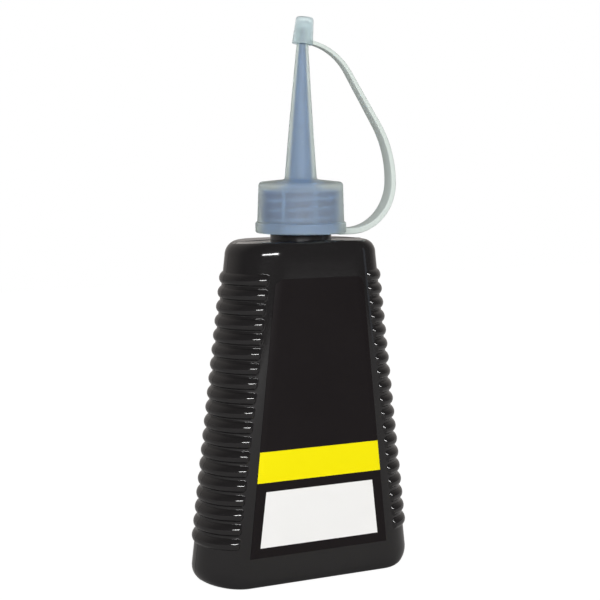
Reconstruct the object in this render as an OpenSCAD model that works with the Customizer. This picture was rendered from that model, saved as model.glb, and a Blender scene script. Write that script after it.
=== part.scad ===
// Squeeze bottle of graphite lock lubricant with a screw nozzle cap and a tethered tip cap.
// Millimetres, +Z up. The base stands on Z = 0 and the label faces -Y.

/* [Bottle] */
// height of the shoulder above the base
bottle_h = 109.8; // [90:0.1:140]
// width across the sides where the walls meet the base plane
base_w = 77; // [60:0.2:100]
// width across the sides at the height of the shoulder
top_w = 50.2; // [44:0.2:70]
// depth from front to back
bottle_depth = 28; // [25:0.5:40]
// thickness of the blown wall
wall = 1.2; // [0.8:0.1:2.5]
// thickness of the floor
floor_t = 1.6; // [1:0.1:3]
// rounding of the shoulder
shoulder_r = 5; // [3:0.25:8]
// rounding of the foot along the front and the back
foot_r = 1.5; // [1:0.25:4]
// rounding of the foot at its two ends, seen from the front
foot_end_r = 6; // [3:0.25:9]
// height up to which the two ends of the foot are cut upright
foot_end_z = 8; // [6.5:0.1:10]
// radius of the two cut ends, seen from above
foot_plan_r = 22; // [18:0.5:28]
// rounding of the floor inside
floor_r = 2; // [1:0.25:4]
// mould step where the tapered wall meets the shoulder and the foot
mould_step = 0.06; // [0.04:0.01:0.2]

/* [Grip ribs] */
// ribs on each narrow side
rib_count = 19; // [5:1:25]
// height of the lowest rib
rib_low_z = 14.7; // [10:0.1:30]
// drop from the shoulder to the highest rib
rib_drop = 11.9; // [9:0.1:30]
// groove left between two ribs
rib_gap = 0.9; // [0.5:0.1:2]
// height of a rib over the wall
rib_relief = 1.0; // [0.5:0.05:1.5]
// inset of the plane that trims the ribs' ends, from the front of the wall
rib_inset = 0.85; // [0.5:0.05:5]

/* [Neck] */
// neck diameter at the root of the thread
neck_d = 19.8; // [17:0.1:26]
// neck height above the shoulder
neck_h = 14.5; // [10:0.1:20]
// bore of the neck
neck_bore = 15.2; // [10:0.1:18]

/* [Powder] */
// height of the graphite above the floor
powder_h = 74; // [20:1:90]
// gap between the graphite and the wall
powder_clear = 0.3; // [0.2:0.05:1]

/* [Label] */
// drop from the shoulder to the label's top edge
label_drop = 11.6; // [8:0.1:30]
// height of the label's bottom edge
label_low_z = 9.8; // [6:0.1:30]
// distance from the wall's side to the label's edge at the top
label_margin_top = 11; // [6:0.1:16]
// distance from the wall's side to the label's edge at the bottom
label_margin_low = 12.7; // [6:0.1:18]
// radius of the label's top corners
label_r = 3; // [1:0.1:6]
// thickness of the label
label_t = 0.15; // [0.1:0.01:0.4]
// glue gap behind the label
label_glue = 0.1; // [0.05:0.01:0.3]

/* [Seal] */
// thickness of the sealing washer
seal_t = 1.4; // [0.8:0.1:3]
// gap between the washer and the cap's bore
seal_clear = 0.35; // [0.2:0.05:1]

/* [Nozzle cap] */
// height of the skirt's foot over the shoulder
cap_lift = 2; // [1.8:0.1:6]
// height of the neck's thread over its root
thread_relief = 1.05; // [0.6:0.05:1.5]
// running gap between the thread and the cap's bore
thread_clear = 0.45; // [0.3:0.05:1]
// wall of the skirt at its foot
skirt_wall = 2.7; // [1.5:0.1:4]
// draft of the skirt from foot to deck
skirt_draft = 0.5; // [0:0.05:1.5]
// height of the collar round the skirt's foot
collar_h = 3.5; // [2:0.1:5]
// reach of the collar over the skirt
collar_out = 0.6; // [0.3:0.05:2]
// rounding of the collar's edges
collar_r = 0.5; // [0.2:0.05:1]
// thickness of the deck at the skirt
deck_t = 2.4; // [1:0.1:4]
// rise of the deck from its edge to the spout
deck_rise = 0.9; // [0.3:0.1:5]
// rounding of the deck's edge
deck_r = 1.3; // [0.8:0.1:3]
// rise of the funnel under the deck, from the neck's bore to the spout's
funnel_h = 1.6; // [0.5:0.1:4]

/* [Spout] */
// height of the spout's tip over the deck's edge
spout_h = 49.2; // [30:0.1:70]
// diameter of the spout at the deck
spout_base_d = 10.4; // [8:0.1:14]
// diameter of the spout at the tip
spout_tip_d = 2.9; // [2:0.1:5]
// wall of the spout at the deck
spout_base_wall = 1.7; // [1:0.05:2.5]
// bore of the spout at the tip
spout_tip_bore = 1.2; // [0.6:0.05:2]

/* [Tip cap] */
// length of spout inside the tip cap
tip_engage = 5; // [3:0.1:8]
// gap round the spout at the tip cap's rim
tip_clear = 0.72; // [0.5:0.02:1.5]
// wall of the tip cap
tip_wall = 0.8; // [0.5:0.05:1.5]
// length of the tip cap
tip_cap_h = 8.8; // [6:0.1:14]
// thickness of the tip cap's end
tip_end_t = 1.6; // [0.8:0.1:3]
// narrowing of the tip cap from rim to end, on the radius
tip_draft = 0.6; // [0:0.05:1]
// rounding of the tip cap's end
tip_round = 0.8; // [0.3:0.05:1.2]
// lean of the tip cap towards the strap
tip_lean = 6; // [0:0.5:6]

/* [Strap] */
// thickness of the strap
strap_t = 1.6; // [0.8:0.05:2]
// width of the strap at the collar
strap_root_w = 5.5; // [3:0.1:8]
// width of the strap at the tip cap
strap_end_w = 3; // [1.5:0.1:5]
// height of the strap's middle over the skirt's foot
strap_root_z = 0.2; // [0:0.1:2]
// reach of the collar's tab
tab_reach = 2.8; // [1:0.1:6]
// reach of the tip cap's tab
tip_tab_reach = 2.2; // [1:0.1:4]
// height of the tip cap's tab over the cap's rim
tip_tab_z = 0.3; // [0:0.1:2]
// radius of the strap's middle bend
strap_mid_r = 35.5; // [20:0.5:60]
// turn of the strap's middle bend
strap_mid_turn = 32.5; // [20:0.5:45]
// radius of the strap's top bend
strap_top_r = 21.5; // [10:0.5:30]
// turn of the strap's top bend
strap_top_turn = 41; // [20:0.5:45]

/* [Hidden] */
$fn = 96;
over = 0.5;
// lift of the ends' roundings from the base plane
foot_lift = -0.3;
// overlap of two stretches of the strap
lap_turn = 1;
lap = 0.3;
wide = 400;
// turn of a rib to each side, past the planes that trim it
rib_turn = 80;
end_r = bottle_depth / 2;
side_k = (base_w - top_w) / 2 / bottle_h;
side_tilt = atan(side_k);
shoulder_z = bottle_h - shoulder_r;
rib_top_z = bottle_h - rib_drop;
rib_pitch = (rib_top_z - rib_low_z) / (rib_count - 1);
rib_w = rib_pitch - rib_gap;
rib_r = (rib_w * rib_w / 4 + rib_relief * rib_relief) / 2 / rib_relief;
neck_r = neck_d / 2;
neck_top_z = bottle_h + neck_h;
powder_top_z = floor_t + powder_h;
label_top_z = bottle_h - label_drop;
cap_foot_z = bottle_h + cap_lift;
cap_bore_r = neck_r + thread_relief + thread_clear;
skirt_foot_r = cap_bore_r + skirt_wall;
skirt_top_r = skirt_foot_r - skirt_draft;
collar_out_r = skirt_foot_r + collar_out;
under_z = neck_top_z + seal_t;
deck_z = under_z + deck_t;
spout_foot_z = deck_z + deck_rise;
spout_tip_z = deck_z + spout_h;
spout_base_r = spout_base_d / 2;
spout_tip_r = spout_tip_d / 2;
bore_base_r = spout_base_r - spout_base_wall;
bore_tip_r = spout_tip_bore / 2;
spout_k = (spout_base_r - spout_tip_r) / (spout_tip_z - spout_foot_z);
tip_rim_z = spout_tip_z - tip_engage;
tip_in_r = spout_tip_r + tip_engage * spout_k + tip_clear;
tip_out_r = tip_in_r + tip_wall;
tip_top_r = tip_out_r - tip_draft;
tip_depth = tip_cap_h - tip_end_t;
tip_in_top_r = tip_in_r - tip_draft * tip_depth / tip_cap_h;

// path of the strap in the XZ plane, from the collar's tab up to the tip cap's tab
climb = 90 + strap_mid_turn;
arrive = climb + strap_top_turn;
start_x = collar_out_r + tab_reach;
start_z = cap_foot_z + strap_root_z;
end_x = (tip_out_r + tip_tab_reach) * cos(180 - arrive);
end_z = tip_rim_z + tip_tab_z;
mid_dx = -strap_mid_r * (1 - cos(strap_mid_turn));
mid_dz = strap_mid_r * sin(strap_mid_turn);
top_dx = strap_top_r * (sin(arrive) - sin(climb));
top_dz = strap_top_r * (cos(climb) - cos(arrive));
left_x = end_x - start_x - mid_dx - top_dx;
left_z = end_z - start_z - mid_dz - top_dz;
strap_run = (left_x - left_z) / (cos(climb) - sin(climb));
root_bend_r = left_x - strap_run * cos(climb);
bend_x = start_x + root_bend_r;
bend_z = start_z + root_bend_r;
run_x = bend_x + mid_dx;
run_z = bend_z + mid_dz;
top_x = run_x + strap_run * cos(climb);
top_z = run_z + strap_run * sin(climb);

// distance of the round ends' middle from the axis, at height z
function end_x_at(z) = base_w / 2 - side_k * z - end_r / cos(side_tilt);
// half width of the bare wall at height z
function half_w_at(z) = base_w / 2 - side_k * z;

// tapered middle of the body between two heights, with its wall set in by inset
module tapered_core(inset, z_lo, z_hi) {
    r = end_r - inset;
    length = bottle_h / cos(side_tilt) + 2 * end_r;
    for (side = [0, 1])
        mirror([side, 0, 0])
            intersection() {
                translate([end_x_at(0), 0, 0])
                    rotate([0, -side_tilt, 0])
                        translate([0, 0, -end_r]) {
                            cylinder(h = length, r = r);
                            translate([-wide, -r, 0])
                                cube([wide, 2 * r, length]);
                        }
                translate([-over, -wide / 2, z_lo])
                    cube([wide, wide, z_hi - z_lo]);
            }
}

// quarter profile of a rounded rim, r out and h up, rounded at its far corner
module rim_profile(r, h, rounding) {
    square([r - rounding, h]);
    if (h > rounding)
        square([r, h - rounding]);
    intersection() {
        translate([r - rounding, h - rounding])
            circle(rounding);
        square([r + over, h + over]);
    }
}

// slab with round ends and a rounded rim on top, standing on z = 0
module rounded_slab(middle_x, r, h, rounding) {
    for (side = [-1, 1])
        translate([side * middle_x, 0, 0])
            rotate_extrude()
                rim_profile(r, h, rounding);
    for (side = [0, 1])
        mirror([0, side, 0])
            translate([-middle_x, 0, 0])
                rotate([90, 0, 90])
                    linear_extrude(2 * middle_x)
                        rim_profile(r, h, rounding);
}

// space inside the foot's two rounded ends, set in by inset
module foot_ends(inset) {
    r = foot_plan_r - inset;
    middle_x = half_w_at(foot_end_z) - foot_plan_r;
    h = bottle_h + over - foot_lift - inset;
    translate([0, 0, bottle_h + over])
        mirror([0, 0, 1]) {
            for (side = [-1, 1])
                translate([side * middle_x, 0, 0])
                    rotate_extrude()
                        rim_profile(r, h, foot_end_r - inset);
            translate([-middle_x, -wide / 2, 0])
                cube([2 * middle_x, wide, h]);
        }
}

// whole body, set in by inset, from its floor with the rounding foot up to its shoulder
module body(inset, z_floor, foot, z_top) {
    r = end_r - inset - mould_step;
    z_foot = z_floor + foot;
    intersection() {
        union() {
            tapered_core(inset, z_foot, shoulder_z);
            translate([0, 0, shoulder_z])
                rounded_slab(end_x_at(shoulder_z), r, z_top - shoulder_z, shoulder_r - inset);
            translate([0, 0, z_foot])
                mirror([0, 0, 1])
                    rounded_slab(end_x_at(z_foot), r, foot, foot);
        }
        foot_ends(inset);
    }
}

// one grip rib round the right end, sinking into the wall at both of its ends
module grip_rib(z) {
    path_r = end_r + rib_relief - rib_r;
    translate([half_w_at(z) - end_r, 0, z])
        rotate([0, 0, -rib_turn])
            rotate_extrude(angle = 2 * rib_turn)
                translate([path_r, 0])
                    circle(rib_r);
}

// all ribs, trimmed by one plane at the front and one at the back
module grip_ribs() {
    trim_y = end_r - rib_inset;
    intersection() {
        for (side = [0, 1])
            mirror([side, 0, 0])
                for (i = [0 : rib_count - 1])
                    grip_rib(rib_low_z + i * rib_pitch);
        translate([-wide / 2, -trim_y, 0])
            cube([wide, 2 * trim_y, bottle_h]);
    }
}

module bottle() {
    color([0.09, 0.085, 0.085])
        difference() {
            union() {
                body(0, 0, foot_r, bottle_h);
                grip_ribs();
                translate([0, 0, bottle_h - over])
                    cylinder(h = neck_h + over, r = neck_r);
            }
            body(wall, floor_t, floor_r, bottle_h - wall);
            translate([0, 0, bottle_h - wall - over])
                cylinder(h = neck_h + wall + 2 * over, d = neck_bore);
        }
}

// outline of the label, seen from the front
module label_outline() {
    low = half_w_at(label_low_z) - label_margin_low;
    top = half_w_at(label_top_z) - label_margin_top;
    lean = (low - top) / (label_top_z - label_low_z);
    corner = top + lean * label_r - label_r * sqrt(1 + lean * lean);
    polygon([
        [-low, label_low_z],
        [low, label_low_z],
        [top + lean * label_r, label_top_z - label_r],
        [-top - lean * label_r, label_top_z - label_r]
    ]);
    translate([-corner, label_top_z - 2 * label_r])
        square([2 * corner, 2 * label_r]);
    for (side = [-1, 1])
        translate([side * corner, label_top_z - label_r])
            circle(label_r);
}

module front_label() {
    color([0.14, 0.12, 0.125])
        intersection() {
            difference() {
                tapered_core(-label_glue - label_t, label_low_z - over, label_top_z + over);
                tapered_core(-label_glue, label_low_z - 2 * over, label_top_z + 2 * over);
            }
            rotate([90, 0, 0])
                linear_extrude(end_r + over)
                    label_outline();
        }
}

module graphite_powder() {
    inset = wall + powder_clear;
    z_foot = floor_t + floor_r;
    r = end_r - inset - mould_step;
    color([0.2, 0.2, 0.21])
        intersection() {
            union() {
                tapered_core(inset, z_foot, powder_top_z);
                translate([0, 0, z_foot])
                    mirror([0, 0, 1])
                        rounded_slab(end_x_at(z_foot), r, floor_r, floor_r);
            }
            foot_ends(inset);
        }
}

module neck_seal() {
    color([0.93, 0.93, 0.9])
        translate([0, 0, neck_top_z])
            difference() {
                cylinder(h = seal_t, r = cap_bore_r - seal_clear);
                translate([0, 0, -over])
                    cylinder(h = seal_t + 2 * over, d = neck_bore);
            }
}

// half section of the nozzle cap's outside
module nozzle_outside() {
    edge_r = skirt_top_r - deck_r;
    polygon([
        [0, cap_foot_z],
        [skirt_foot_r, cap_foot_z],
        [skirt_top_r, deck_z - deck_r],
        [edge_r, deck_z],
        [spout_base_r, spout_foot_z],
        [spout_tip_r, spout_tip_z],
        [0, spout_tip_z]
    ]);
    translate([edge_r, deck_z - deck_r])
        circle(deck_r);
    translate([0, cap_foot_z + collar_r])
        square([collar_out_r, collar_h - 2 * collar_r]);
    translate([0, cap_foot_z])
        square([collar_out_r - collar_r, collar_h]);
    for (z = [collar_r, collar_h - collar_r])
        translate([collar_out_r - collar_r, cap_foot_z + z])
            circle(collar_r);
}

// half section of the nozzle cap's inside
module nozzle_inside() {
    polygon([
        [0, cap_foot_z - over],
        [cap_bore_r, cap_foot_z - over],
        [cap_bore_r, under_z],
        [neck_bore / 2, under_z],
        [bore_base_r, under_z + funnel_h],
        [bore_tip_r, spout_tip_z],
        [bore_tip_r, spout_tip_z + over],
        [0, spout_tip_z + over]
    ]);
}

module nozzle_cap() {
    tab_z = start_z - strap_t / 2;
    color([0.72, 0.78, 0.8])
        difference() {
            union() {
                rotate_extrude()
                    intersection() {
                        nozzle_outside();
                        translate([0, cap_foot_z])
                            square([collar_out_r + over, spout_tip_z - cap_foot_z]);
                    }
                translate([cap_bore_r, -strap_root_w / 2, tab_z])
                    cube([start_x - cap_bore_r, strap_root_w, strap_t]);
            }
            rotate_extrude()
                nozzle_inside();
            translate([0, 0, tab_z - over])
                cylinder(h = cap_foot_z - tab_z + over, r = cap_bore_r);
        }
}

// part of the strap's bend: a ring of the strap's section about Y, over a range of angles from +X
module strap_bend(x, z, r, from, sweep) {
    translate([x, 0, z])
        rotate([90, -from, 0])
            rotate_extrude(angle = sweep)
                translate([r, 0])
                    square([strap_t, strap_root_w], center = true);
}

module tether_strap() {
    color([0.72, 0.78, 0.77])
        intersection() {
            union() {
                strap_bend(start_x, bend_z, root_bend_r, -90, 90 + lap_turn);
                strap_bend(bend_x - strap_mid_r, bend_z, strap_mid_r, 0, strap_mid_turn);
                translate([run_x, 0, run_z])
                    rotate([0, -climb, 0])
                        translate([-lap, -strap_root_w / 2, -strap_t / 2])
                            cube([strap_run + 2 * lap, strap_root_w, strap_t]);
                strap_bend(
                    top_x - strap_top_r * sin(climb),
                    top_z + strap_top_r * cos(climb),
                    strap_top_r, climb - 90, strap_top_turn
                );
            }
            rotate([90, 0, 90])
                linear_extrude(wide)
                    polygon([
                        [-strap_root_w / 2, start_z - over - strap_t],
                        [strap_root_w / 2, start_z - over - strap_t],
                        [strap_root_w / 2, bend_z],
                        [strap_end_w / 2, end_z],
                        [strap_end_w / 2, end_z + strap_t + over],
                        [-strap_end_w / 2, end_z + strap_t + over],
                        [-strap_end_w / 2, end_z],
                        [-strap_root_w / 2, bend_z]
                    ]);
        }
}

// half section of the tip cap's outside, its rim on y = 0
module tip_outside() {
    polygon([
        [0, 0],
        [tip_out_r, 0],
        [tip_top_r, tip_cap_h - tip_round],
        [tip_top_r - tip_round, tip_cap_h],
        [0, tip_cap_h]
    ]);
    translate([tip_top_r - tip_round, tip_cap_h - tip_round])
        circle(tip_round);
}

module tip_cap() {
    color([0.74, 0.79, 0.8])
        difference() {
            union() {
                translate([0, 0, tip_rim_z])
                    rotate([0, tip_lean, 0])
                        rotate_extrude()
                            intersection() {
                                tip_outside();
                                square([tip_out_r + over, tip_cap_h]);
                            }
                translate([end_x, 0, end_z])
                    rotate([0, -arrive, 0])
                        translate([0, -strap_end_w / 2, -strap_t / 2])
                            cube([tip_tab_reach + tip_wall / 2, strap_end_w, strap_t]);
            }
            translate([0, 0, tip_rim_z])
                rotate([0, tip_lean, 0])
                    translate([0, 0, -2 * over])
                        cylinder(
                            h = tip_depth + 2 * over,
                            r1 = tip_in_r,
                            r2 = tip_in_top_r
                        );
        }
}

bottle();
front_label();
graphite_powder();
neck_seal();
nozzle_cap();
tether_strap();
tip_cap();
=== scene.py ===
from math import atan2, cos, hypot, pi, radians, sin, sqrt, tan

import bmesh
import bpy
from mathutils import Matrix, Vector


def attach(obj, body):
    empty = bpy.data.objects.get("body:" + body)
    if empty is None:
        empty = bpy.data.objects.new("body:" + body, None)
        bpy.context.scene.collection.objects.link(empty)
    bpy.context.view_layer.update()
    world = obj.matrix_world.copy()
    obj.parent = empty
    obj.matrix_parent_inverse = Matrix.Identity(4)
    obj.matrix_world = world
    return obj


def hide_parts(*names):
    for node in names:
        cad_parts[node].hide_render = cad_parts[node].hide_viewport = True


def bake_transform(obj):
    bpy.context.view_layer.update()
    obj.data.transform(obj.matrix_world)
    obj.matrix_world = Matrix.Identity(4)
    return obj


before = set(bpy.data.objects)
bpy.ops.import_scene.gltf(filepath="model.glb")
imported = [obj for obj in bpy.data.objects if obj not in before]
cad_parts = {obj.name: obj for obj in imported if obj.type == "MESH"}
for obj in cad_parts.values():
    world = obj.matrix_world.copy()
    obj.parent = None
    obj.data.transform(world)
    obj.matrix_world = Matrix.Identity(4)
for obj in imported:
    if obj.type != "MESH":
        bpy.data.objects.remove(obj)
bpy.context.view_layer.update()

# Graphite squeeze bottle with a screw nozzle cap, a strap and a tip cap.
# Shapes are drawn in millimetres, +Z up, label facing -Y, and scaled to metres when they are finished.
MM = 0.001
TINY = 1e-9

# bottle
BOTTLE_H = 109.8
BASE_HALF_W = 38.5
TOP_HALF_W = 25.1
SIDE_SLOPE = (BASE_HALF_W - TOP_HALF_W) / BOTTLE_H
END_R = 14.0
FOOT_R = 1.1
FOOT_END_R = 5.5
SHOULDER_R = 5.0
SHOULDER_FRONT_R = 2.2
SHOULDER_Z = BOTTLE_H - SHOULDER_R
CROWN = 0.3
CROWN_X = 20.0
WALL = 1.2
FLOOR_T = 1.6
FLOOR_R = 2.0
FLOOR_END_R = 4.6
INSIDE_TOP = BOTTLE_H - WALL - CROWN
PUSH_UP = 0.7
SEAM = 0.1
SHOULDER_SEAM = 0.12

# grip ribs
RIB_COUNT = 19
RIB_LOW_Z = 14.7
RIB_TOP_Z = BOTTLE_H - 11.9
RIB_GAP = 0.9
RIB_RELIEF = 1.0
RIB_BLEND = 0.12
RIB_END_TURN = 65.5
RIB_END_SHARPNESS = 1.8
RIB_PITCH = (RIB_TOP_Z - RIB_LOW_Z) / (RIB_COUNT - 1)
RIB_HALF_W = (RIB_PITCH - RIB_GAP) / 2
RIB_R = (RIB_HALF_W ** 2 + RIB_RELIEF ** 2) / (2 * RIB_RELIEF)

# columns of the bottle's skin, in degrees from the seam to the flat, closer together where the ribs end
SEAM_TURNS = (0, 1, 2)
SIDE_TURNS = range(5, 57, 4)
RIB_END_TURNS = [57 + 0.75 * k for k in range(20)]
CORNER_TURNS = (74, 78, 84, 90)
FLAT_PARTS = 13
NECK_FLAT_TURN = 34

# rings of the bottle's skin, from the base up the outside and down the inside
BASE_STEPS = ((2.8, PUSH_UP), (2.0, PUSH_UP / 2), (1.0, 0))
FOOT_TURNS = range(0, 91, 15)
FOOT_HEIGHTS = (1.9, 2.5, 3.2, 4, 5, FOOT_END_R)
LOW_WALL_HEIGHTS = (7.5, 10)
RIB_STEPS = (0.4, 0.8, 1.15, 1.5, 1.75, 1.9, 2.05)
TOP_WALL_HEIGHTS = (101.5, 103)
SHOULDER_TURNS = range(7, 85, 7)
TOP_SHARES = (0.15, 0.35, 0.6, 0.8, 1)
NECK_FOOT_TURNS = (22, 45, 68, 90)
NECK_HEIGHTS = (112, 115, 118, 121)
RIM_TURNS = (30, 60, 90)
BORE_LIP_TURNS = (45, 90)
BORE_HEIGHTS = (118, 112)
INSIDE_TURNS = (90, 70, 50, 30, 0)
INSIDE_HEIGHTS = (75, 45, 15, 8, 6, 4.8, 3.6, 2.9, 2.3, 1.8)

# neck and its thread
NECK_R = 9.9
NECK_BORE_R = 7.6
NECK_TOP_Z = BOTTLE_H + 14.5
NECK_FILLET = 0.1
RIM_ROUND = 0.5
THREAD_PITCH = 3.175
THREAD_RELIEF = 1.0
THREAD_TOP_Z = 122.6
THREAD_TURNS = 2.3
THREAD_START_TURN = 200
THREAD_STEPS = 72
THREAD_SUNK = 0.15
THREAD_ROOT_UP = 0.95
THREAD_FLANK_UP = 0.6075
THREAD_FLANK_SHARE = 0.75
THREAD_CREST_UP = 0.315
THREAD_FADE = 14
THREAD_THINNEST = 0.04

# nozzle cap
CAP_FOOT_Z = BOTTLE_H + 2.0
CAP_BORE_R = 11.4
CAP_FOOT_LIP = 0.3
CAP_THREAD_RELIEF = 0.85
SKIRT_FOOT_R = 14.2
SKIRT_TOP_R = 13.7
COLLAR_R = 14.7
COLLAR_H = 3.5
COLLAR_ROUND = 0.55
COLLAR_CREASE = 0.25
UNDER_Z = NECK_TOP_Z + 1.4
UNDER_ROUND = 0.5
DECK_Z = UNDER_Z + 2.4
DECK_EDGE_R = SKIRT_TOP_R - 0.05
DECK_EDGE_Z = DECK_Z + 0.02
DECK_ROUND = 1.3
SPOUT_FOOT_Z = DECK_Z + 0.9
SPOUT_FOOT_R = 5.2
SPOUT_FILLET = 0.9
SPOUT_TIP_Z = DECK_Z + 49.2
SPOUT_TIP_R = 1.45
SPOUT_LIP = 0.25
SPOUT_STEPS = 12
SPOUT_BEND = 0.75
FUNNEL_Z = UNDER_Z + 1.6
FUNNEL_ROUND = 1.2
FUNNEL_RIM_ROUND = 0.4
BORE_FOOT_R = 3.5
BORE_TIP_R = 0.6
BORE_LIP = 0.15
BORE_STEP_Z = 145.6
BORE_STEP = 0.4
BORE_ABOVE_STEP = (172, 167, 162, 157, 152, 148)
BORE_BELOW_STEP = (142, 137, 132)
# reach of the painted shade, a blue grey core, over the nozzle's inside faces
SPOUT_SHADE_REACH = 0.3
SKIRT_SHADE_REACH = 0.05
SHADE_FOOT_GAP = 0.4

# tip cap
TIP_RIM_Z = SPOUT_TIP_Z - 5.3
TIP_H = 8.6
TIP_RIM_R = 3.36
TIP_RIM_ROUND = 0.2
TIP_END_R = 2.76
TIP_BORE_R = 2.56
TIP_BORE_END_R = 2.07
TIP_BORE_ROUND = 0.4
TIP_DEPTH = 7.2
TIP_ROUND = 0.8
TIP_LEAN = 6.0

# strap
STRAP_ROOT_T = 2.1
STRAP_END_T = 1.25
STRAP_THINNING = 1.15
STRAP_ROOT_W = 5.5
STRAP_END_W = 3.0
STRAP_NARROWS_FROM = 0.25
STRAP_NARROWS_OVER = 0.7
STRAP_EDGE = 0.35
STRAP_FROM_X = 13.2
STRAP_START = (COLLAR_R + 2.8, CAP_FOOT_Z + 0.1)
STRAP_END = (5.64, TIP_RIM_Z + 0.05)
STRAP_MID_R = 35.6
STRAP_MID_TURN = 32.6
STRAP_TOP_R = 20.3
STRAP_TOP_TURN = 40.8
STRAP_END_TAB = 2.9
STRAP_STEP = 1.0

# label print
BAND_Z = (34.0, 43.9)
PANEL_Z = (13.0, 31.0)
PANEL_FOOT_HALF_W = 22.7
PANEL_LEAN = 0.1167
PRINT_EDGE = 0.04

# painted shade of the neck's thread, seen dark through the cap, broken by lighter upright stripes that are
# painted highlights
THREAD_SHADE_Z = (114.7, 125.2)
THREAD_SHADE_EDGE = 0.4
THREAD_SHADE_BEAD = (0.30, 0.42)
HIGHLIGHT_STRIPES = 7
HIGHLIGHT_STRIPE_SHIFT = 7.3
HIGHLIGHT_STRIPE_RAMP = (0.05, 0.09)
THREAD_SHADE_SHARE = 0.88

# studio, in metres and degrees
CAMERA_TURN = 26.177
CAMERA_DIP = 6.378
CAMERA_AWAY = 0.44721
CAMERA_HEIGHT = 0.13972
CAMERA_ASIDE = 0.00024
CAMERA_LENS = 82.77
CAMERA_SENSOR = 36
FLOOR_HALF = 0.9
FLOOR_WHITE = 1.25
FLOOR_WHITE_SHARE = 0.75
ROOM_FRONT = 0.13
ROOM_BACK = 0.42
ROOM_FADE = (-0.1, 0.7)
ROOM_TINT = (1.0, 0.94, 0.9)
PALE = (1.0, 1.0, 1.0)


def new_piece(name, bm, material, body, replaces=(), sharp=35, inside=None):
    """Finish a mesh drawn in millimetres as a piece on a body, with its inside in a second finish."""
    bmesh.ops.remove_doubles(bm, verts=bm.verts, dist=1e-4)
    bmesh.ops.recalc_face_normals(bm, faces=bm.faces)
    if inside:
        for face in bm.faces:
            face.material_index = int(inside[1](face.calc_center_median()))
    bmesh.ops.scale(bm, vec=(MM, MM, MM), verts=bm.verts)
    for face in bm.faces:
        face.smooth = True
    mesh = bpy.data.meshes.new(name)
    bm.to_mesh(mesh)
    bm.free()
    mesh.set_sharp_from_angle(angle=radians(sharp))
    mesh.materials.append(material)
    if inside:
        mesh.materials.append(inside[0])
    piece = bpy.data.objects.new(name, mesh)
    bpy.context.collection.objects.link(piece)
    if body:
        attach(piece, body)
    if replaces:
        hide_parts(*replaces)
    return piece


def first_ring(bm, places):
    """A closed ring of vertices set on places."""
    ring = bmesh.ops.create_circle(bm, segments=len(places), radius=1)["verts"]
    for vert, place in zip(ring, places):
        vert.co = place
    return ring


def next_ring(bm, ring, places):
    """Extrude a closed ring and set the new ring on places."""
    edges = [bm.edges.get(pair) for pair in zip(ring, ring[1:] + ring[:1])]
    made = bmesh.ops.extrude_edge_only(bm, edges=edges)["geom"]
    fresh = {part for part in made if isinstance(part, bmesh.types.BMVert)}
    grown = []
    for vert, place in zip(ring, places):
        far = next(e.other_vert(vert) for e in vert.link_edges if e.other_vert(vert) in fresh)
        far.co = place
        grown.append(far)
    return grown


def loft(bm, rings, caps=False):
    """A skin through closed rings of equal length, with flat ends where caps is true."""
    ring = first = first_ring(bm, rings[0])
    for places in rings[1:]:
        ring = next_ring(bm, ring, places)
    if caps:
        bmesh.ops.contextual_create(bm, geom=first)
        bmesh.ops.contextual_create(bm, geom=ring)


def rounded(corners, steps=6):
    """A path through (x, z, radius) corners, each rounded by an arc of its radius."""
    path = []
    for i, (x, z, radius) in enumerate(corners):
        here = Vector((x, z))
        if radius == 0:
            path.append(here)
            continue
        back = (Vector(corners[i - 1][:2]) - here).normalized()
        on = (Vector(corners[(i + 1) % len(corners)][:2]) - here).normalized()
        half = back.angle(on) / 2
        middle = here + (back + on).normalized() * radius / sin(half)
        arm = here + back * radius / tan(half) - middle
        last = here + on * radius / tan(half) - middle
        turn = atan2(arm.cross(last), arm.dot(last))
        for k in range(steps + 1):
            bend = turn * k / steps
            path.append(middle + Vector((
                arm.x * cos(bend) - arm.y * sin(bend), arm.x * sin(bend) + arm.y * cos(bend)
            )))
    return path


def turned(bm, path, closed=True, steps=112):
    """Spin a half section, given as (radius, height) points, round the Z axis."""
    verts = [bm.verts.new((x, 0, z)) for x, z in path]
    pairs = zip(verts, verts[1:] + verts[:1]) if closed else zip(verts, verts[1:])
    edges = [bm.edges.new(pair) for pair in pairs]
    bmesh.ops.spin(
        bm, geom=verts + edges, angle=2 * pi, steps=steps,
        axis=(0, 0, 1), cent=(0, 0, 0), use_merge=True,
    )


def soft_max(a, b, reach):
    """The larger of two values, with a smooth change from one to the other."""
    return max(a, b) + max(reach - abs(a - b), 0) ** 2 / (4 * reach)


def mixed(a, b, share):
    """The value at a share of the way from a to b."""
    return a + (b - a) * share


# bottle

def bottle_columns():
    """Columns round the body: side of the flat's end, cosine and sine of the turn, seam or not."""
    quarter = [*SEAM_TURNS, *SIDE_TURNS, *RIB_END_TURNS, *CORNER_TURNS]
    end = [-turn for turn in quarter[:0:-1]] + quarter
    flat = [1 - 2 * k / FLAT_PARTS for k in range(1, FLAT_PARTS)]
    columns = [(1, cos(radians(t)), sin(radians(t)), t == 0) for t in end]
    columns += [(along, 0, 1, False) for along in flat]
    columns += [(-1, -cos(radians(t)), -sin(radians(t)), t == 0) for t in end]
    columns += [(-along, 0, -1, False) for along in flat]
    return columns


COLUMNS = bottle_columns()


def half_width(z):
    """Half the body's width at height z, which narrows upwards."""
    return BASE_HALF_W - SIDE_SLOPE * z


def rib_height(z, turn):
    """Height of the ribs over the wall at height z, as beads with a dome at both ends of their turn."""
    nearest = round((z - RIB_LOW_Z) / RIB_PITCH)
    away = z - RIB_LOW_Z - RIB_PITCH * min(max(nearest, 0), RIB_COUNT - 1)
    past = RIB_END_SHARPNESS * END_R * max(abs(turn) - radians(RIB_END_TURN), 0)
    away = hypot(away, past)
    if away >= RIB_R:
        return 0
    return soft_max(sqrt(RIB_R ** 2 - away ** 2) - RIB_R + RIB_RELIEF, 0, RIB_BLEND)


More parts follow.
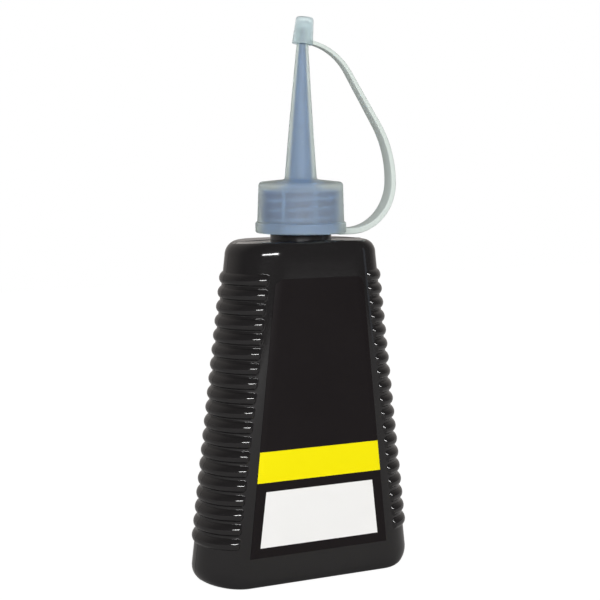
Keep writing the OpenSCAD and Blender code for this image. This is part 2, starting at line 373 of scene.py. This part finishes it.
def corner_inset(height, radius):
    """How far a rounded lower edge stands back from its wall, at a height over its foot."""
    short = max(radius - height, 0)
    return radius - sqrt(radius ** 2 - short ** 2)


def outside_ring(z, end_inset=0, front_inset=None, ribs=False):
    """Places round the body at height z, set in from the wall at the ends and at the front and back."""
    if front_inset is None:
        front_inset = end_inset
    middle = half_width(z) - END_R
    places = []
    for along, out, side, seam in COLUMNS:
        raised = SEAM if seam else 0
        if ribs and out:
            raised += rib_height(z, atan2(side, abs(out)))
        across = (END_R - end_inset + raised) * out
        places.append(Vector((along * middle + across, (END_R - front_inset + raised) * side, z)))
    return places


def foot_ring(z, set_in=0, floor=0, end_r=FOOT_END_R, front_r=FOOT_R):
    """A ring of the foot, rounded more at its two ends than along its front and back."""
    up = z - floor
    return outside_ring(z, set_in + corner_inset(up, end_r), set_in + corner_inset(up, front_r))


def shoulder_height(x, y):
    """Height of the shoulder's skin over a point of the plan, rounded less along its front and back."""
    middle = half_width(SHOULDER_Z) - END_R
    beyond = max(abs(x) - middle, 0)
    inset = END_R - hypot(beyond, y)
    share = abs(y) / max(hypot(beyond, y), TINY)
    reach = mixed(SHOULDER_R, SHOULDER_FRONT_R, share ** 2)
    deep = min(max(inset / reach, 0), 1)
    rise = SHOULDER_R * sqrt(1 - (1 - deep) ** 2)
    return SHOULDER_Z + rise - CROWN * (x / CROWN_X) ** 2 * deep


def neck_ring(r, z=None):
    """Places round the neck, in step with the body's columns. Without z they lie on the shoulder."""
    flat_turn = radians(NECK_FLAT_TURN)
    places = []
    for along, out, side, _ in COLUMNS:
        if abs(out) < TINY:
            turn = pi / 2 * side - flat_turn * along * side
        else:
            lean = atan2(side, abs(out)) * (1 - flat_turn / (pi / 2))
            turn = lean if along > 0 else pi - lean
        x, y = r * cos(turn), r * sin(turn)
        places.append(Vector((x, y, shoulder_height(x, y) if z is None else z)))
    return places


def on_shoulder(places):
    """The same places of the plan, on the shoulder's skin."""
    return [Vector((p.x, p.y, shoulder_height(p.x, p.y))) for p in places]


def with_seam(places, height):
    """The same places, raised by a height along the parting line."""
    return [p + Vector((0, 0, height if column[3] else 0)) for p, column in zip(places, COLUMNS)]


def base_rings():
    """Rings from the middle of the base out to the foot and up its round."""
    rings = [outside_ring(PUSH_UP, END_R)]
    for step, z in BASE_STEPS:
        rings.append(outside_ring(z, FOOT_END_R + step, FOOT_R + step))
    rings += [foot_ring(FOOT_R * (1 - cos(radians(turn)))) for turn in FOOT_TURNS]
    rings += [foot_ring(z) for z in FOOT_HEIGHTS]
    return rings


def wall_rings():
    """Rings up the wall, closer together at the feet of each rib."""
    below = [-step for step in reversed(RIB_STEPS)]
    heights = [*LOW_WALL_HEIGHTS, RIB_LOW_Z - RIB_PITCH / 2]
    for i in range(RIB_COUNT):
        middle = RIB_LOW_Z + i * RIB_PITCH
        heights += [middle + step for step in (*below, 0, *RIB_STEPS, RIB_PITCH / 2)]
    heights += [*TOP_WALL_HEIGHTS, SHOULDER_Z]
    return [outside_ring(z, ribs=True) for z in heights]


def shoulder_rings():
    """Rings over the shoulder's round and in across its top to the neck's foot."""
    rings = []
    for turn in SHOULDER_TURNS:
        back = 1 - cos(radians(turn))
        ring = outside_ring(SHOULDER_Z, SHOULDER_R * back, SHOULDER_FRONT_R * back)
        rings.append(with_seam(on_shoulder(ring), SHOULDER_SEAM * turn / SHOULDER_TURNS[-1]))
    edge, root = rings[-1], neck_ring(NECK_R + NECK_FILLET)
    for share in TOP_SHARES:
        flat = [mixed(a, b, share) for a, b in zip(edge, root)]
        rings.append(with_seam(on_shoulder(flat), SHOULDER_SEAM))
    return rings


def neck_rings():
    """Rings up the neck from its foot, over the rim and down the bore."""
    root = neck_ring(NECK_R + NECK_FILLET)
    rings = []
    for turn in NECK_FOOT_TURNS:
        ring = neck_ring(NECK_R + NECK_FILLET * (1 - sin(radians(turn))))
        lift = NECK_FILLET * (1 - cos(radians(turn)))
        rings.append([Vector((p.x, p.y, q.z + lift)) for p, q in zip(ring, root)])
    for z in (*NECK_HEIGHTS, NECK_TOP_Z - RIM_ROUND):
        rings.append(neck_ring(NECK_R, z))
    for turn in RIM_TURNS:
        drop = RIM_ROUND * (1 - sin(radians(turn)))
        rings.append(neck_ring(NECK_R - RIM_ROUND * (1 - cos(radians(turn))), NECK_TOP_Z - drop))
    rings.append(neck_ring(NECK_BORE_R + RIM_ROUND, NECK_TOP_Z))
    for turn in BORE_LIP_TURNS:
        r = NECK_BORE_R + RIM_ROUND * (1 - sin(radians(turn)))
        rings.append(neck_ring(r, NECK_TOP_Z - RIM_ROUND * (1 - cos(radians(turn)))))
    for z in (*BORE_HEIGHTS, INSIDE_TOP):
        rings.append(neck_ring(NECK_BORE_R, z))
    return rings


def inside_rings():
    """Rings from under the shoulder down the inside to the middle of the floor."""
    round_in = SHOULDER_R - WALL
    rings = []
    for turn in INSIDE_TURNS:
        inset = WALL + round_in * (1 - cos(radians(turn)))
        rings.append(outside_ring(INSIDE_TOP - round_in * (1 - sin(radians(turn))), inset))
    for z in (*INSIDE_HEIGHTS, FLOOR_T):
        rings.append(foot_ring(z, WALL, FLOOR_T, FLOOR_END_R, FLOOR_R))
    rings.append(outside_ring(FLOOR_T, END_R))
    return rings


def make_bottle(material):
    """The hollow ribbed bottle with its neck, as one skin from the base to the floor inside."""
    bm = bmesh.new()
    loft(bm, base_rings() + wall_rings() + shoulder_rings() + neck_rings() + inside_rings())
    return new_piece("bottle_body", bm, material, "bottle", ["bottle"], sharp=60)


def helix_rings(r, relief, z_start):
    """Rings of a thread that runs up from z_start, fading at both ends."""
    rings = []
    count = int(THREAD_TURNS * THREAD_STEPS)
    sunk = -THREAD_SUNK if relief > 0 else THREAD_SUNK
    for k in range(count + 1):
        share = k / count
        turn = radians(THREAD_START_TURN) + 2 * pi * THREAD_TURNS * share
        z = z_start + THREAD_PITCH * THREAD_TURNS * share
        fade = min(1, THREAD_FADE * share, THREAD_FADE * (1 - share))
        fade = max(THREAD_THINNEST, fade * fade * (3 - 2 * fade))
        section = [
            (sunk, -THREAD_ROOT_UP),
            (relief * fade * THREAD_FLANK_SHARE, -THREAD_FLANK_UP),
            (relief * fade, -THREAD_CREST_UP),
        ]
        section += [(out, -up) for out, up in section[::-1]]
        rings.append([
            Vector(((r + out) * cos(turn), (r + out) * sin(turn), z + up)) for out, up in section
        ])
    return rings


def make_thread(name, r, relief, drop, material, body):
    """A thread on the neck, or with a negative relief on the cap's bore, drop below the neck's."""
    bm = bmesh.new()
    start_z = THREAD_TOP_Z - THREAD_PITCH * THREAD_TURNS - drop
    loft(bm, helix_rings(r, relief, start_z), caps=True)
    return new_piece(name, bm, material, body)


# cap

def spout_bend(z):
    """Sideways bend of the soft spout at height z."""
    return SPOUT_BEND * (max(z - SPOUT_FOOT_Z, 0) / (SPOUT_TIP_Z - SPOUT_FOOT_Z)) ** 2


def bore_radius(z):
    """Radius of the spout's tapered bore at height z."""
    return mixed(BORE_FOOT_R, BORE_TIP_R, (z - FUNNEL_Z) / (SPOUT_TIP_Z - FUNNEL_Z))


def spout_corner(k):
    """A point on the spout's outside, k steps up from its foot."""
    share = k / SPOUT_STEPS
    return mixed(SPOUT_FOOT_R, SPOUT_TIP_R, share), mixed(SPOUT_FOOT_Z, SPOUT_TIP_Z, share), 0


def make_nozzle(material, inner):
    """The screw cap with its collar, sloped deck and long hollow spout, spun from one section."""
    skirt_k = (SKIRT_FOOT_R - SKIRT_TOP_R) / (DECK_Z - DECK_ROUND - CAP_FOOT_Z)
    collar_top = CAP_FOOT_Z + COLLAR_H
    collar_join = SKIRT_FOOT_R - skirt_k * COLLAR_H
    step_r = bore_radius(BORE_STEP_Z)
    section = [
        (CAP_BORE_R, CAP_FOOT_Z, CAP_FOOT_LIP),
        (COLLAR_R, CAP_FOOT_Z, COLLAR_ROUND),
        (COLLAR_R, collar_top, COLLAR_ROUND),
        (collar_join, collar_top, COLLAR_CREASE),
        (DECK_EDGE_R, DECK_EDGE_Z, DECK_ROUND),
        (SPOUT_FOOT_R, SPOUT_FOOT_Z, SPOUT_FILLET),
        *[spout_corner(k) for k in range(1, SPOUT_STEPS)],
        (SPOUT_TIP_R, SPOUT_TIP_Z, SPOUT_LIP),
        (BORE_TIP_R, SPOUT_TIP_Z, BORE_LIP),
        *[(bore_radius(z), z, 0) for z in BORE_ABOVE_STEP],
        (step_r, BORE_STEP_Z + BORE_STEP, 0),
        (step_r - BORE_STEP, BORE_STEP_Z, 0),
        (step_r, BORE_STEP_Z - BORE_STEP, 0),
        *[(bore_radius(z), z, 0) for z in BORE_BELOW_STEP],
        (BORE_FOOT_R, FUNNEL_Z, FUNNEL_ROUND),
        (NECK_BORE_R, UNDER_Z, FUNNEL_RIM_ROUND),
        (CAP_BORE_R, UNDER_Z, UNDER_ROUND),
    ]
    bm = bmesh.new()
    turned(bm, rounded(section))
    for vert in bm.verts:
        vert.co.x += spout_bend(vert.co.z)
    # the bore, funnel and thread side take the cap's painted-shade finish
    paint = (inner, nozzle_inside)
    return new_piece("nozzle", bm, material, "nozzle", ["nozzle_cap"], inside=paint)


def nozzle_inside(place):
    """Whether a place on the nozzle is on its bore, funnel or thread side, which take the painted shade."""
    r = hypot(place.x - spout_bend(place.z), place.y)
    if place.z > FUNNEL_Z:
        return r < bore_radius(place.z) + SPOUT_SHADE_REACH
    return r < CAP_BORE_R + SKIRT_SHADE_REACH and place.z > CAP_FOOT_Z + SHADE_FOOT_GAP


def strap_stations():
    """Points along the strap: x, z and heading in degrees, from inside the collar to inside the tip cap."""
    climb = 90 + STRAP_MID_TURN
    arrive = climb + STRAP_TOP_TURN
    left_x = STRAP_END[0] - STRAP_START[0] + STRAP_MID_R * (1 - cos(radians(STRAP_MID_TURN)))
    left_x -= STRAP_TOP_R * (sin(radians(arrive)) - sin(radians(climb)))
    left_z = STRAP_END[1] - STRAP_START[1] - STRAP_MID_R * sin(radians(STRAP_MID_TURN))
    left_z -= STRAP_TOP_R * (cos(radians(climb)) - cos(radians(arrive)))
    run = (left_x - left_z) / (cos(radians(climb)) - sin(radians(climb)))
    root_r = left_x - run * cos(radians(climb))
    legs = [
        (STRAP_START[0] - STRAP_FROM_X, 0),
        (root_r * pi / 2, 90),
        (STRAP_MID_R * radians(STRAP_MID_TURN), STRAP_MID_TURN),
        (run, 0),
        (STRAP_TOP_R * radians(STRAP_TOP_TURN), STRAP_TOP_TURN),
        (STRAP_END_TAB, 0),
    ]
    x, z, heading = STRAP_FROM_X, STRAP_START[1], 0.0
    stations = [(x, z, heading)]
    for length, turn in legs:
        count = max(2, round(length / STRAP_STEP))
        for _ in range(count):
            middle = radians(heading + turn / count / 2)
            chord = length / count
            x, z = x + chord * cos(middle), z + chord * sin(middle)
            heading += turn / count
            stations.append((x, z, heading))
    return stations


def strap_ring(x, z, heading, share):
    """The strap's section with rounded edges, square to its path, at a share of its length."""
    narrowed = min(max((share - STRAP_NARROWS_FROM) / STRAP_NARROWS_OVER, 0), 1)
    half_w = mixed(STRAP_ROOT_W, STRAP_END_W, narrowed) / 2
    half_t = mixed(STRAP_ROOT_T, STRAP_END_T, min(STRAP_THINNING * share, 1)) / 2
    corners = [
        (half_w, -half_t, STRAP_EDGE), (half_w, half_t, STRAP_EDGE),
        (-half_w, half_t, STRAP_EDGE), (-half_w, -half_t, STRAP_EDGE),
    ]
    rise = radians(heading + 90)
    return [Vector((x + t * cos(rise), w, z + t * sin(rise))) for w, t in rounded(corners, 4)]


def make_strap(material):
    """The flat strap, from inside the collar to inside the tip cap."""
    stations = strap_stations()
    last = len(stations) - 1
    bm = bmesh.new()
    loft(bm, [strap_ring(*station, k / last) for k, station in enumerate(stations)], caps=True)
    piece = new_piece("strap", bm, material, None, ["tether_strap"], sharp=50)
    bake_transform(piece)
    return piece


def make_tip_cap(material):
    """The thimble cap, spun upright and then leaned and set on the bent spout."""
    section = [
        (0, TIP_H, 0),
        (TIP_END_R, TIP_H, TIP_ROUND),
        (TIP_RIM_R, 0, TIP_RIM_ROUND),
        (TIP_BORE_R, 0, TIP_RIM_ROUND),
        (TIP_BORE_END_R, TIP_DEPTH, TIP_BORE_ROUND),
        (0, TIP_DEPTH, 0),
    ]
    bm = bmesh.new()
    turned(bm, rounded(section), closed=False, steps=64)
    lean = Matrix.Rotation(radians(TIP_LEAN), 3, "Y")
    bmesh.ops.rotate(bm, cent=(0, 0, 0), matrix=lean, verts=bm.verts)
    bmesh.ops.translate(bm, vec=(spout_bend(TIP_RIM_Z), 0, TIP_RIM_Z), verts=bm.verts)
    return new_piece("tip_cap_shell", bm, material, "tip", ["tip_cap"])


# materials

# sockets of a colour Mix node, which has the same names once more for each kind of value
MIX_SHARE, MIX_LOW, MIX_HIGH, MIX_COLOUR = 0, 6, 7, 2


def new_material(name, **sockets):
    """A material with plain values on its shader's sockets, their names written with underscores."""
    material = bpy.data.materials.new(name)
    material.use_nodes = True
    shader = material.node_tree.nodes["Principled BSDF"]
    for socket, value in sockets.items():
        shader.inputs[socket.replace("_", " ")].default_value = value
    return material, material.node_tree, shader


def feed(tree, socket, value):
    """Link a socket to another one, or set it to a plain value. A colour is given without its alpha."""
    if isinstance(value, bpy.types.NodeSocket):
        tree.links.new(value, socket)
    elif isinstance(value, tuple):
        socket.default_value = (*value, 1)
    else:
        socket.default_value = value


def add_node(tree, kind, inputs=None, **settings):
    """A new node with its settings, and with its inputs fed by name or number."""
    node = tree.nodes.new(kind)
    for key, value in settings.items():
        setattr(node, key, value)
    for key, value in (inputs or {}).items():
        feed(tree, node.inputs[key], value)
    return node


def maths(tree, operation, *values):
    """One maths node, with sockets or plain numbers as its values."""
    return add_node(tree, "ShaderNodeMath", dict(enumerate(values)), operation=operation).outputs[0]


def ramp_of(tree, value, low, high, start=0, stop=1):
    """A smooth change from start to stop while the value goes from low to high."""
    inputs = {"Value": value, "From Min": low, "From Max": high, "To Min": start, "To Max": stop}
    return add_node(tree, "ShaderNodeMapRange", inputs, interpolation_type="SMOOTHSTEP").outputs["Result"]


def between(tree, value, ends, edge):
    """A mask that is one between two ends, with a soft edge, for ends and edge in millimetres."""
    low, high = (end * MM for end in ends)
    edge = edge * MM
    rise = ramp_of(tree, value, low - edge, low + edge)
    fall = ramp_of(tree, value, high - edge, high + edge, 1, 0)
    return maths(tree, "MULTIPLY", rise, fall)


def two_tones(tree, share, low, high):
    """A colour between two, by a share that changes over the surface."""
    inputs = {MIX_SHARE: share, MIX_LOW: low, MIX_HIGH: high}
    return add_node(tree, "ShaderNodeMix", inputs, data_type="RGBA").outputs[MIX_COLOUR]


def object_point(tree):
    """The point on the piece, in metres."""
    return add_node(tree, "ShaderNodeTexCoord").outputs["Object"]


def moulded_skin_group():
    """Moulded plastic: uneven gloss, a faint change of tone and a fine orange peel."""
    tree = bpy.data.node_groups.new("moulded_skin", "ShaderNodeTree")
    face = tree.interface
    face.new_socket("Point", in_out="INPUT", socket_type="NodeSocketVector")
    for name in ("Gloss Low", "Gloss High", "Peel Scale"):
        face.new_socket(name, in_out="INPUT", socket_type="NodeSocketFloat")
    for name in ("Tone", "Roughness", "Height"):
        face.new_socket(name, in_out="OUTPUT", socket_type="NodeSocketFloat")
    given = add_node(tree, "NodeGroupInput").outputs

    cloud = add_node(tree, "ShaderNodeTexNoise", {"Vector": given["Point"], "Scale": 45, "Detail": 5})
    gloss = add_node(tree, "ShaderNodeMapRange", {
        "Value": cloud.outputs["Fac"], "From Min": 0.3, "From Max": 0.7,
        "To Min": given["Gloss Low"], "To Max": given["Gloss High"],
    })
    peel = add_node(tree, "ShaderNodeTexNoise", {
        "Vector": given["Point"], "Scale": given["Peel Scale"], "Detail": 2,
    })
    add_node(tree, "NodeGroupOutput", {
        "Tone": cloud.outputs["Fac"], "Roughness": gloss.outputs["Result"], "Height": peel.outputs["Fac"],
    })
    return tree


def place_skin(tree, shader, group, point, gloss, peel_scale, peel):
    """Put the moulded skin on a shader and give back its tone."""
    low, high = gloss
    inputs = {"Point": point, "Gloss Low": low, "Gloss High": high, "Peel Scale": peel_scale}
    skin = add_node(tree, "ShaderNodeGroup", inputs, node_tree=group)
    tree.links.new(skin.outputs["Roughness"], shader.inputs["Roughness"])
    bump = add_node(tree, "ShaderNodeBump", {
        "Strength": peel, "Distance": 0.0002, "Height": skin.outputs["Height"],
    })
    tree.links.new(bump.outputs["Normal"], shader.inputs["Normal"])
    return skin.outputs["Tone"]


def toned_finish(name, skin, low, high, gloss, peel_scale, peel, **sockets):
    """A finish with the moulded skin, between two close tones."""
    material, tree, shader = new_material(name, **sockets)
    tone = place_skin(tree, shader, skin, object_point(tree), gloss, peel_scale, peel)
    tree.links.new(two_tones(tree, tone, low, high), shader.inputs["Base Color"])
    return material


def black_bottle_plastic(skin):
    """Glossy black polyethylene."""
    low, high = (0.0100, 0.0093, 0.0098), (0.0130, 0.0122, 0.0128)
    return toned_finish("black_bottle_plastic", skin, low, high, (0.08, 0.12), 900, 0.02, IOR=1.5)


def cloudy_plastic(name, skin, low, high, clear, gloss=(0.3, 0.42), peel=0.03, ior=1.1):
    """Natural polyethylene: milky, clear by a share, with a soft gloss on its skin."""
    return toned_finish(
        name, skin, low, high, gloss, 500, peel,
        IOR=ior, Transmission_Weight=clear, Coat_Weight=0.06, Coat_Roughness=0.3,
    )


def graphite_grain(skin):
    """Loose grey powder with a faint metal glint."""
    low, high = (0.02, 0.02, 0.021), (0.075, 0.075, 0.08)
    return toned_finish("graphite_grain", skin, low, high, (0.45, 0.75), 2600, 0.9, Metallic=0.35)


def seal_foam(skin):
    """Pale matt foam."""
    low, high = (0.72, 0.72, 0.68), (0.86, 0.86, 0.82)
    return toned_finish("seal_foam", skin, low, high, (0.6, 0.8), 3000, 0.6)


def painted_cap_shade(skin):
    """The cap's inside in a painted shade: a blue grey for the dark bluish core the milky plastic shows over
    the black neck and bore, with painted shade of the neck's thread in bands broken by lighter upright
    stripes that are painted highlights.
    """
    material, tree, shader = new_material("cap_inside_shade", Specular_IOR_Level=0.1)
    point = object_point(tree)
    tone = place_skin(tree, shader, skin, point, (0.5, 0.7), 500, 0.03)
    x, y, z = add_node(tree, "ShaderNodeSeparateXYZ", {0: point}).outputs
    turn = maths(tree, "DIVIDE", maths(tree, "ARCTAN2", y, x), 2 * pi)
    climb = maths(tree, "DIVIDE", z, THREAD_PITCH * MM)
    phase = maths(tree, "FRACT", maths(tree, "SUBTRACT", climb, turn))
    bead = maths(tree, "ABSOLUTE", maths(tree, "SUBTRACT", phase, 0.5))
    stripes = maths(tree, "FRACT", maths(tree, "MULTIPLY_ADD", turn, HIGHLIGHT_STRIPES, HIGHLIGHT_STRIPE_SHIFT))
    stripe = maths(tree, "ABSOLUTE", maths(tree, "SUBTRACT", stripes, 0.5))
    # painted shade of the neck's thread in bands, and lighter upright stripes as painted highlights
    thread_shade = between(tree, z, THREAD_SHADE_Z, THREAD_SHADE_EDGE)
    thread_shade = maths(tree, "MULTIPLY", thread_shade, ramp_of(tree, bead, *THREAD_SHADE_BEAD, 1, 0))
    thread_shade = maths(tree, "MULTIPLY", thread_shade, ramp_of(tree, stripe, *HIGHLIGHT_STRIPE_RAMP))
    share = maths(tree, "MULTIPLY_ADD", tone, 1 - THREAD_SHADE_SHARE, maths(tree, "MULTIPLY", thread_shade, THREAD_SHADE_SHARE))
    # painted shade: the blue grey and the darker blue of the thread bands
    colour = two_tones(tree, share, (0.14, 0.26, 0.53), (0.052, 0.107, 0.293))
    tree.links.new(colour, shader.inputs["Base Color"])
    return material


def label_film(skin):
    """Satin film printed with a black field, one yellow band and one white panel."""
    material, tree, shader = new_material("label_film", Specular_IOR_Level=0.12)
    point = object_point(tree)
    tone = place_skin(tree, shader, skin, point, (0.34, 0.44), 700, 0.06)
    x, _, z = add_node(tree, "ShaderNodeSeparateXYZ", {0: point}).outputs
    across = maths(tree, "MULTIPLY_ADD", z, PANEL_LEAN, maths(tree, "ABSOLUTE", x))
    side = (PANEL_FOOT_HALF_W - PRINT_EDGE) * MM, (PANEL_FOOT_HALF_W + PRINT_EDGE) * MM
    band = between(tree, z, BAND_Z, PRINT_EDGE)
    panel = maths(tree, "MULTIPLY", ramp_of(tree, across, *side, 1, 0), between(tree, z, PANEL_Z, PRINT_EDGE))
    field = two_tones(tree, tone, (0.0085, 0.0066, 0.0072), (0.0110, 0.0088, 0.0094))
    yellow = two_tones(tree, tone, (0.90, 0.79, 0.0004), (0.96, 0.85, 0.0008))
    white = two_tones(tree, tone, (0.86, 0.86, 0.85), (0.92, 0.92, 0.91))
    colour = two_tones(tree, panel, two_tones(tree, band, field, yellow), white)
    tree.links.new(colour, shader.inputs["Base Color"])
    return material


def dress_node(node, material):
    """Give a CAD node that stays its finish."""
    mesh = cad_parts[node].data
    mesh.materials.clear()
    mesh.materials.append(material)


# studio

def make_floor():
    """A pale floor that the camera sees as nearly white, with the object's shadow faint on it."""
    bm = bmesh.new()
    bmesh.ops.create_grid(bm, x_segments=1, y_segments=1, size=FLOOR_HALF)
    mesh = bpy.data.meshes.new("floor")
    bm.to_mesh(mesh)
    bm.free()
    floor = bpy.data.objects.new("floor", mesh)
    bpy.context.collection.objects.link(floor)
    material, tree, shader = new_material("pale_floor")
    tree.nodes.remove(shader)
    matt = add_node(tree, "ShaderNodeBsdfDiffuse", {"Color": (0.9, 0.9, 0.9)})
    white = add_node(tree, "ShaderNodeEmission", {"Color": PALE, "Strength": FLOOR_WHITE})
    seen = add_node(tree, "ShaderNodeLightPath").outputs["Is Camera Ray"]
    share = maths(tree, "MULTIPLY", seen, FLOOR_WHITE_SHARE)
    surface = add_node(tree, "ShaderNodeMixShader", {0: share, 1: matt.outputs[0], 2: white.outputs[0]})
    tree.links.new(surface.outputs[0], tree.nodes["Material Output"].inputs["Surface"])
    mesh.materials.append(material)


def make_world():
    """White to the camera and through clear plastic, and a dim room with a paler back for the rest."""
    world = bpy.data.worlds.new("studio")
    bpy.context.scene.world = world
    world.use_nodes = True
    tree = world.node_tree
    background = tree.nodes["Background"]
    path = add_node(tree, "ShaderNodeLightPath").outputs
    seen = maths(tree, "MAXIMUM", path["Is Camera Ray"], path["Is Transmission Ray"])
    way = add_node(tree, "ShaderNodeTexCoord").outputs["Generated"]
    way = add_node(tree, "ShaderNodeSeparateXYZ", {0: way}).outputs
    room = ramp_of(tree, way["Y"], *ROOM_FADE, ROOM_FRONT, ROOM_BACK)
    tree.links.new(maths(tree, "MAXIMUM", room, seen), background.inputs["Strength"])
    tree.links.new(two_tones(tree, seen, ROOM_TINT, PALE), background.inputs["Color"])


def make_lamp(name, turn, rise, away, aim, size, power, colour=PALE):
    """An area lamp at a turn to the right of the front and a rise over its aim, unseen but in gloss."""
    light = bpy.data.lights.new(name, "AREA")
    light.shape = "RECTANGLE"
    light.size, light.size_y = size
    light.energy = power
    light.color = colour
    turn, rise, aim = radians(turn), radians(rise), Vector(aim)
    way = Vector((sin(turn) * cos(rise), -cos(turn) * cos(rise), sin(rise)))
    lamp = bpy.data.objects.new(name, light)
    lamp.location = aim + away * way
    lamp.rotation_euler = (aim - lamp.location).to_track_quat("-Z", "Y").to_euler()
    lamp.visible_camera = False
    lamp.visible_transmission = False
    bpy.context.collection.objects.link(lamp)


def make_camera():
    """The photograph's view, a little above the object and to the left of its front."""
    turn, dip = radians(CAMERA_TURN), radians(CAMERA_DIP)
    data = bpy.data.cameras.new("camera")
    data.sensor_width = CAMERA_SENSOR
    data.lens = CAMERA_LENS
    data.clip_start, data.clip_end = 0.01, 50
    camera = bpy.data.objects.new("camera", data)
    right = Vector((cos(turn), -sin(turn), 0))
    place = Vector((-CAMERA_AWAY * sin(turn), -CAMERA_AWAY * cos(turn), CAMERA_HEIGHT))
    camera.location = place - CAMERA_ASIDE * right
    look = Vector((sin(turn) * cos(dip), cos(turn) * cos(dip), -sin(dip)))
    camera.rotation_euler = look.to_track_quat("-Z", "Y").to_euler()
    bpy.context.collection.objects.link(camera)
    bpy.context.scene.camera = camera


make_camera()
make_floor()
make_world()
make_lamp("strip", turn=-19, rise=12, away=1.6, aim=(0, 0, 0.107), size=(1.25, 0.12), power=22.5)
make_lamp(
    "back_softbox", turn=154, rise=28, away=1.4, aim=(0, 0, 0.1), size=(0.8, 0.5), power=1.3,
    colour=(1, 0.95, 0.91),
)
make_lamp(
    "window", turn=66, rise=2, away=0.9, aim=(0, 0, 0.06), size=(0.12, 0.5), power=0.08,
    colour=(0.7, 0.82, 1),
)
bpy.context.scene.view_settings.view_transform = "Standard"

skin = moulded_skin_group()
black = black_bottle_plastic(skin)
cap_plastic = cloudy_plastic(
    "cap_plastic", skin, (0.66, 0.725, 0.69), (0.72, 0.785, 0.75), clear=0.78, gloss=(0.58, 0.68), ior=1.17
)
cap_inside_shade = painted_cap_shade(skin)
strap_plastic = cloudy_plastic(
    "strap_plastic", skin, (0.64, 0.71, 0.675), (0.69, 0.76, 0.725), clear=0, gloss=(0.45, 0.55), peel=0
)
tip_plastic = cloudy_plastic("tip_plastic", skin, (0.70, 0.80, 0.82), (0.76, 0.86, 0.88), clear=0.7)
make_bottle(black)
make_thread("neck_thread", NECK_R, THREAD_RELIEF, 0, black, "bottle")
make_nozzle(cap_plastic, cap_inside_shade)
# the cap's thread takes the painted-shade finish of the cap's inside
make_thread(
    "cap_thread", CAP_BORE_R, -CAP_THREAD_RELIEF, THREAD_PITCH / 2, cap_inside_shade, "nozzle"
)
make_strap(strap_plastic)
make_tip_cap(tip_plastic)
dress_node("front_label", label_film(skin))
dress_node("graphite_powder", graphite_grain(skin))
dress_node("neck_seal", seal_foam(skin))
